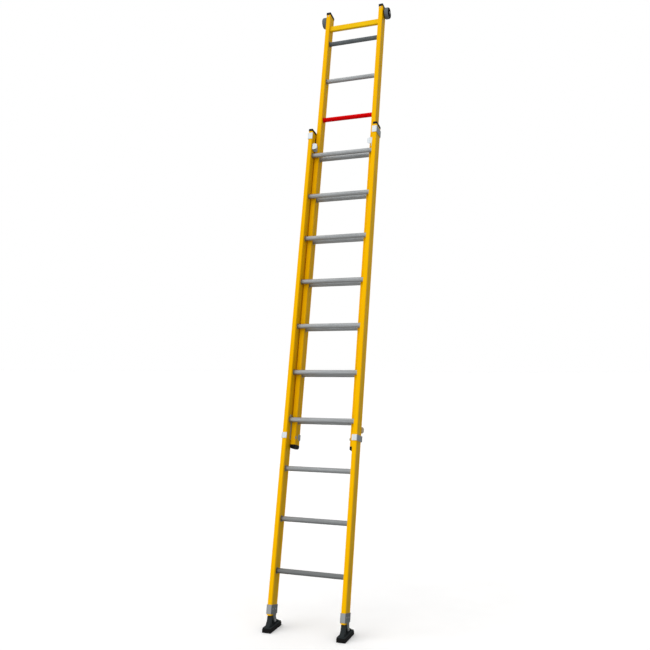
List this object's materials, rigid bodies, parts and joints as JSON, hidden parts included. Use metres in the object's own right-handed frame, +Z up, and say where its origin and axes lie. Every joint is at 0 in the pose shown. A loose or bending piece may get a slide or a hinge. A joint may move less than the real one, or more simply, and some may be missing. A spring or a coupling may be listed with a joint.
{
  "type": "extension ladder",
  "caption": "Two-section leaning extension ladder with yellow glass-fibre stiles, round aluminium rungs, sliding guides, rung hooks, wall wheels and tilting rubber feet.",
  "frame": {"origin": "on the floor under the soles, at the middle of the footprint of the whole leaning ladder as it stands at rest", "axes": "+X across the ladder, along the rungs; +Z up, close to the stiles; the ladder is climbed from the -Y side and its top leans 13 degrees towards +Y"},
  "size_m": [0.476, 1.0164, 3.7924],
  "materials": {
    "yellow_grp": "pigmented glass-fibre pultrusion, satin",
    "yellow_bar": "yellow powder coat, satin",
    "red_rung": "red powder coat, satin",
    "dark_rung": "dark grey coat, satin",
    "rung_aluminium": "extruded, fine lengthwise ribs",
    "bracket_aluminium": "bright rolled strap",
    "bolt_steel": "zinc plated",
    "cap_plastic": "moulded, matt",
    "nylon_black": "moulded nylon",
    "hub_plastic": "moulded, matt",
    "tyre_grey": "blue-grey solid tyre",
    "shoe_plastic": "moulded, satin",
    "sole_rubber": "ribbed rubber"
  },
  "bodies": {
    "base": {"base_stile_left": "yellow_grp", "base_stile_right": "yellow_grp", "base_rung_1": "rung_aluminium", "base_rung_2": "rung_aluminium", "base_rung_3": "rung_aluminium", "base_rung_4": "rung_aluminium", "base_rung_5": "rung_aluminium", "base_rung_6": "rung_aluminium", "base_rung_7": "rung_aluminium", "base_rung_8": "rung_aluminium", "base_rung_9": "rung_aluminium", "base_rung_10": "rung_aluminium", "base_top_cap_left": "cap_plastic", "base_top_cap_right": "cap_plastic", "top_guide_left": "bracket_aluminium", "top_guide_right": "bracket_aluminium", "top_guide_lug_left": "bracket_aluminium", "top_guide_lug_right": "bracket_aluminium", "top_glide_left": "nylon_black", "top_glide_right": "nylon_black", "foot_bracket_left": "bracket_aluminium", "foot_bracket_right": "bracket_aluminium", "foot_bolt_left": "bolt_steel", "foot_bolt_right": "bolt_steel"},
    "fly": {"fly_stile_left": "yellow_grp", "fly_stile_right": "yellow_grp", "fly_rung_1": "rung_aluminium", "fly_rung_2": "rung_aluminium", "fly_rung_3": "rung_aluminium", "fly_rung_4": "rung_aluminium", "fly_rung_5": "rung_aluminium", "fly_rung_6": "rung_aluminium", "fly_rung_7": "rung_aluminium", "fly_rung_8": "red_rung", "fly_rung_9": "rung_aluminium", "fly_rung_10": "dark_rung", "fly_cross_bar": "yellow_bar", "fly_top_cap_left": "cap_plastic", "fly_top_cap_right": "cap_plastic", "fly_end_plug_left": "cap_plastic", "fly_end_plug_right": "cap_plastic", "lower_guide_left": "bracket_aluminium", "lower_guide_right": "bracket_aluminium", "lower_glide_left": "nylon_black", "lower_glide_right": "nylon_black", "wheel_axle_left": "bolt_steel", "wheel_axle_right": "bolt_steel", "latch_pin_left": "bolt_steel", "latch_pin_right": "bolt_steel"},
    "foot_left": {"foot_shoe_left": "shoe_plastic", "sole_pad_left": "sole_rubber"},
    "foot_right": {"foot_shoe_right": "shoe_plastic", "sole_pad_right": "sole_rubber"},
    "latch_left": {"latch_hook_left": "bracket_aluminium"},
    "latch_right": {"latch_hook_right": "bracket_aluminium"},
    "wheel_left": {"wheel_hub_left": "hub_plastic", "wheel_tyre_left": "tyre_grey"},
    "wheel_right": {"wheel_hub_right": "hub_plastic", "wheel_tyre_right": "tyre_grey"}
  },
  "joints": [
    {"name": "fly_slide", "type": "slide", "parent": "base", "child": "fly", "axis": [0, 0.225, 0.9744], "range_m": [-0.56, 1.12]},
    {"name": "foot_left_tilt", "type": "hinge", "parent": "base", "child": "foot_left", "pos_m": [-0.213, -0.42816, 0.047], "axis": [1, 0, 0], "range_deg": [-3, 40]},
    {"name": "foot_right_tilt", "type": "hinge", "parent": "base", "child": "foot_right", "pos_m": [0.213, -0.42816, 0.047], "axis": [1, 0, 0], "range_deg": [-3, 40]},
    {"name": "latch_left_swing", "type": "hinge", "parent": "fly", "child": "latch_left", "pos_m": [-0.197, -0.19616, 1.02077], "axis": [1, 0, 0], "range_deg": [-18, 0], "stiffness_Nm_per_rad": 0.06, "springref_deg": 22.92},
    {"name": "latch_right_swing", "type": "hinge", "parent": "fly", "child": "latch_right", "pos_m": [0.197, -0.19616, 1.02077], "axis": [1, 0, 0], "range_deg": [-18, 0], "stiffness_Nm_per_rad": 0.06, "springref_deg": 22.92},
    {"name": "wheel_left_spin", "type": "hinge", "parent": "fly", "child": "wheel_left", "pos_m": [-0.215, 0.47171, 3.73582], "axis": [1, 0, 0], "continuous": true},
    {"name": "wheel_right_spin", "type": "hinge", "parent": "fly", "child": "wheel_right", "pos_m": [0.215, 0.47171, 3.73582], "axis": [1, 0, 0], "continuous": true}
  ]
}
